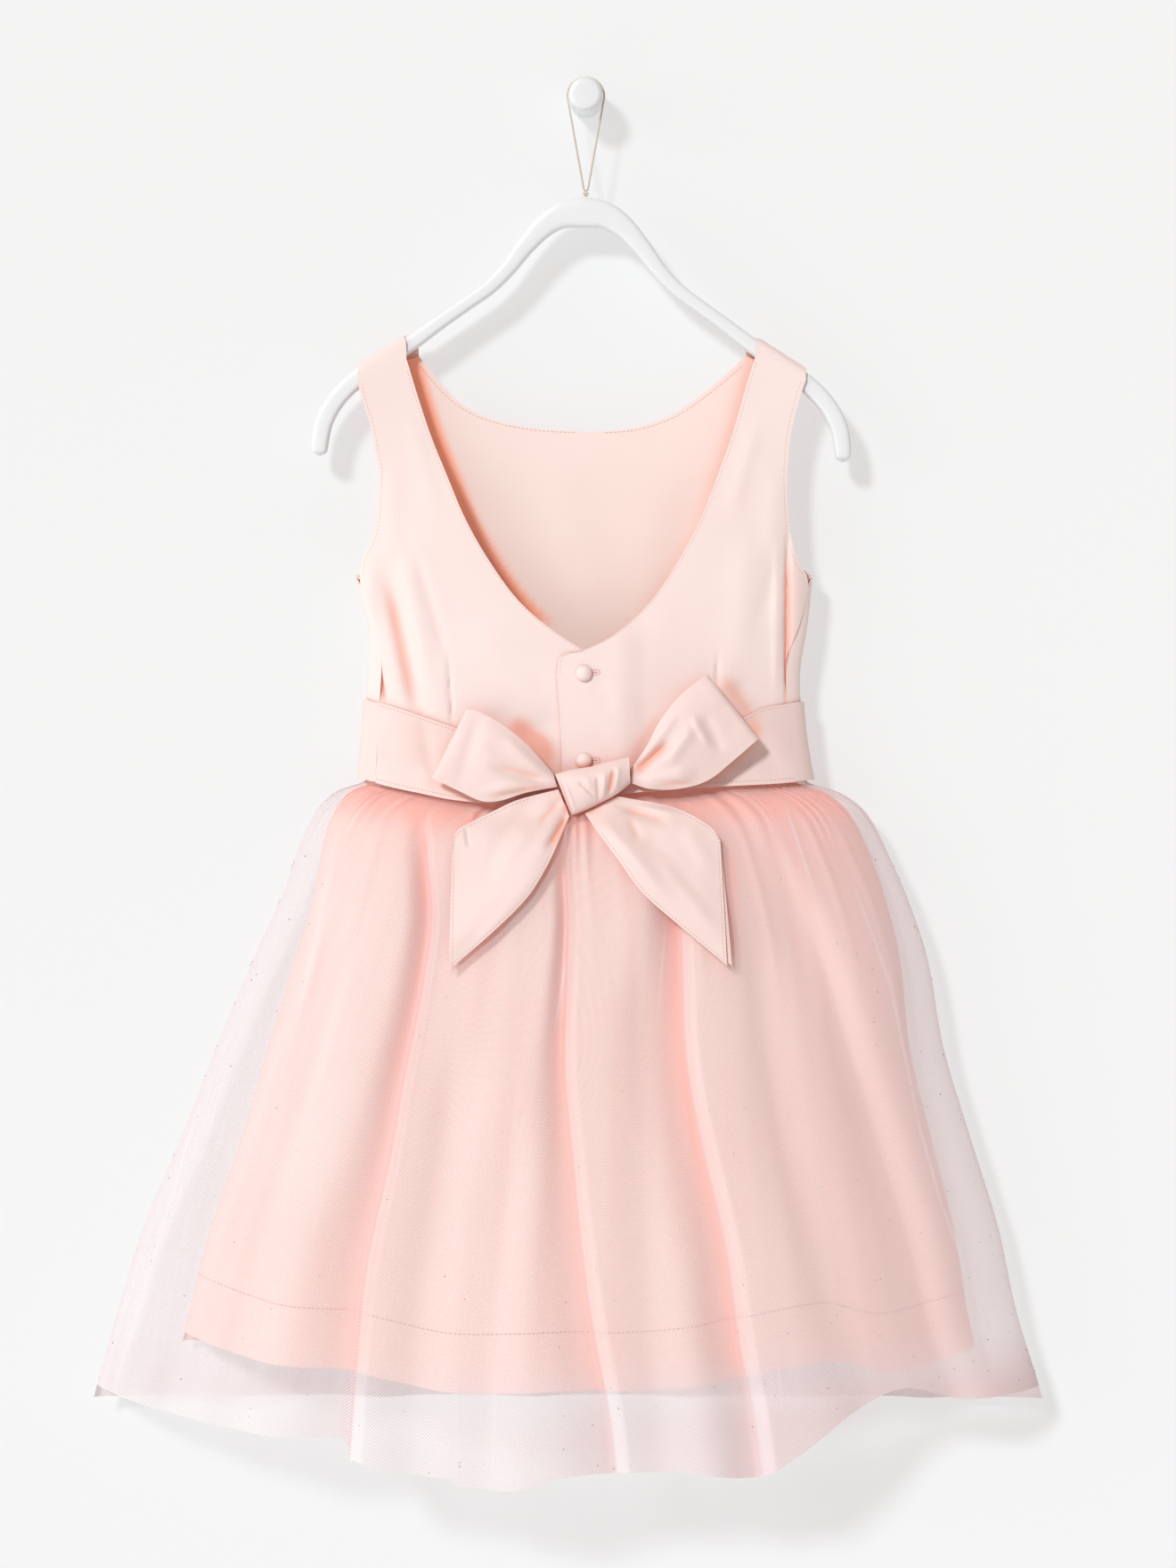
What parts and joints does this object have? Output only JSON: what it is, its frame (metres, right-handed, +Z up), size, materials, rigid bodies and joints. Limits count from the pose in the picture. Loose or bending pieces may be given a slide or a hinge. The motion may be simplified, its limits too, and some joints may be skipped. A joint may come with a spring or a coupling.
{
  "type": "toddler party dress on a child's hanger with wall peg",
  "caption": "Sleeveless satin and net party dress with a deep V back, back buttons and a tied sash, on a small wooden hanger hung by twine from a wall peg.",
  "frame": {"origin": "centre of the peg's flat back face, on the wall plane", "axes": "+Z up, +Y into the wall, so the back of the dress faces -Y"},
  "size_m": [0.5364, 0.0988, 0.7889],
  "materials": {
    "satin": "soft satin sheen",
    "lining": "matt lining satin",
    "sash_satin": "soft satin sheen",
    "skirt_satin": "soft satin sheen",
    "net": "fine soft net with sparse glitter",
    "white_paint": "white satin paint",
    "twine": "thin natural twine"
  },
  "bodies": {
    "root": {"bodice_front": "satin", "bodice_back_left": "satin", "bodice_back_right": "satin", "button_top": "satin", "button_bottom": "satin", "bodice_lining": "lining", "sash_front": "sash_satin", "sash_back_left": "sash_satin", "sash_back_right": "sash_satin", "bow_knot": "sash_satin", "bow_loop_left": "sash_satin", "bow_loop_right": "sash_satin", "bow_tail_left": "sash_satin", "bow_tail_right": "sash_satin", "underskirt_back": "skirt_satin", "underskirt_front": "skirt_satin", "overskirt_back": "net", "overskirt_front": "net", "hanger": "white_paint", "peg": "white_paint", "hanging_loop": "twine", "loop_knot": "twine"}
  },
  "joints": []
}
